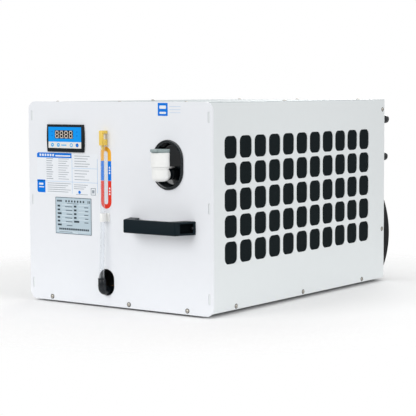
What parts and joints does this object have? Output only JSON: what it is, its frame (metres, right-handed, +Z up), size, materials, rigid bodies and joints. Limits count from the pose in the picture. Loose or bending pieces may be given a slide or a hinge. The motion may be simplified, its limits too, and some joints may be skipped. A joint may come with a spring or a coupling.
{
  "type": "recirculating water chiller",
  "caption": "Bench-top recirculating water chiller with a pale sheet-steel case, grille side, front controller, level tube, filler cup, carrying handle and coiled mains lead.",
  "frame": {"origin": "on the standing surface, under the middle of the object without its mains lead", "axes": "+X to the right seen from the front, +Y from the front panel to the rear, +Z up"},
  "size_m": [0.484, 0.8323, 0.4252],
  "materials": {
    "panel_paint": "satin",
    "case_paint": "satin",
    "zinc_sheet": "zinc plated",
    "foot_rubber": "matt",
    "screw_metal": "plated",
    "screw_dark": "blackened",
    "handle_plastic": "fine grain",
    "bezel_plastic": "semi gloss",
    "window_print": "glossy overlay",
    "key_cyan": "glossy",
    "key_blue": "glossy",
    "clip_yellow": "moulded",
    "clear_tube": "clear flexible tube",
    "white_plastic": "moulded",
    "black_fitting": "moulded",
    "cup_gloss": "glossy",
    "cap_grey": "moulded",
    "brass": "turned",
    "filter_mat": "open mesh",
    "switch_plastic": "moulded",
    "stainless": "brushed",
    "pump_cast": "painted",
    "motor_paint": "satin",
    "aluminium": "finned",
    "fan_plastic": "moulded",
    "compressor_paint": "gloss enamel",
    "copper": "drawn",
    "hose_rubber": "matt",
    "gear_plastic": "moulded",
    "cord_jacket": "satin jacket"
  },
  "bodies": {
    "root": {"accumulator": "compressor_paint", "base_tray": "zinc_sheet", "compressor": "compressor_paint", "compressor_grommets": "foot_rubber", "condenser": "aluminium", "controller_bezel": "bezel_plastic", "controller_housing": "bezel_plastic", "controller_window": "window_print", "cord_gland": "black_fitting", "cord_hank": "cord_jacket", "cord_tail": "cord_jacket", "drain_elbow": "black_fitting", "drain_fitting": "brass", "dust_filter": "filter_mat", "electrical_plate": "zinc_sheet", "fan_motor": "motor_paint", "fan_shroud": "zinc_sheet", "filler_cup": "cup_gloss", "filler_elbow": "white_plastic", "filler_hose": "hose_rubber", "filler_stay": "white_plastic", "filler_tailpiece": "black_fitting", "filter_drier": "aluminium", "front_panel": "panel_paint", "gauge_clip": "clip_yellow", "gauge_tube": "clear_tube", "handle": "handle_plastic", "handle_screws": "screw_dark", "hank_tie": "cord_jacket", "heat_exchanger": "stainless", "left_side_panel": "case_paint", "mains_plug": "cord_jacket", "panel_screws": "screw_metal", "power_cord": "cord_jacket", "pump_head": "pump_cast", "pump_motor": "motor_paint", "rear_fittings": "black_fitting", "rear_panel": "case_paint", "refrigerant_pipes": "copper", "right_side_panel": "case_paint", "rubber_feet": "foot_rubber", "switch_housing": "switch_plastic", "switchgear": "gear_plastic", "tank_lid": "stainless", "top_braces": "zinc_sheet", "top_cover": "case_paint", "tube_nut": "black_fitting", "tube_saddle": "white_plastic", "water_hoses": "hose_rubber", "water_tank": "stainless"},
    "cap_body": {"filler_cap": "white_plastic", "cap_disc": "cap_grey"},
    "outlet_cap_body": {"outlet_cap": "black_fitting"},
    "inlet_cap_body": {"inlet_cap": "black_fitting"},
    "rotor_body": {"fan_rotor": "fan_plastic"},
    "rocker_body": {"switch_rocker": "switch_plastic"},
    "key_1_body": {"controller_key_1": "key_cyan"},
    "key_2_body": {"controller_key_2": "key_cyan"},
    "key_3_body": {"controller_key_3": "key_blue"},
    "key_4_body": {"controller_key_4": "key_blue"}
  },
  "joints": [
    {"name": "filler_cap_lift", "type": "slide", "parent": "root", "child": "cap_body", "axis": [0, 0, 1], "range_m": [0, 0.04]},
    {"name": "outlet_cap_pull", "type": "slide", "parent": "root", "child": "outlet_cap_body", "axis": [0, 1, 0], "range_m": [0, 0.03]},
    {"name": "inlet_cap_pull", "type": "slide", "parent": "root", "child": "inlet_cap_body", "axis": [0, 1, 0], "range_m": [0, 0.03]},
    {"name": "fan_spin", "type": "hinge", "parent": "root", "child": "rotor_body", "pos_m": [0.17, 0.1158, 0.229], "axis": [1, 0, 0], "continuous": true},
    {"name": "power_switch", "type": "hinge", "parent": "root", "child": "rocker_body", "pos_m": [0.06, 0.3428, 0.25], "axis": [-1, 0, 0], "range_deg": [0, 16]},
    {"name": "key_1_press", "type": "slide", "parent": "root", "child": "key_1_body", "axis": [0, 1, 0], "range_m": [0, 0.0005], "stiffness_N_per_m": 300},
    {"name": "key_2_press", "type": "slide", "parent": "root", "child": "key_2_body", "axis": [0, 1, 0], "range_m": [0, 0.0005], "stiffness_N_per_m": 300},
    {"name": "key_3_press", "type": "slide", "parent": "root", "child": "key_3_body", "axis": [0, 1, 0], "range_m": [0, 0.0005], "stiffness_N_per_m": 300},
    {"name": "key_4_press", "type": "slide", "parent": "root", "child": "key_4_body", "axis": [0, 1, 0], "range_m": [0, 0.0005], "stiffness_N_per_m": 300}
  ]
}
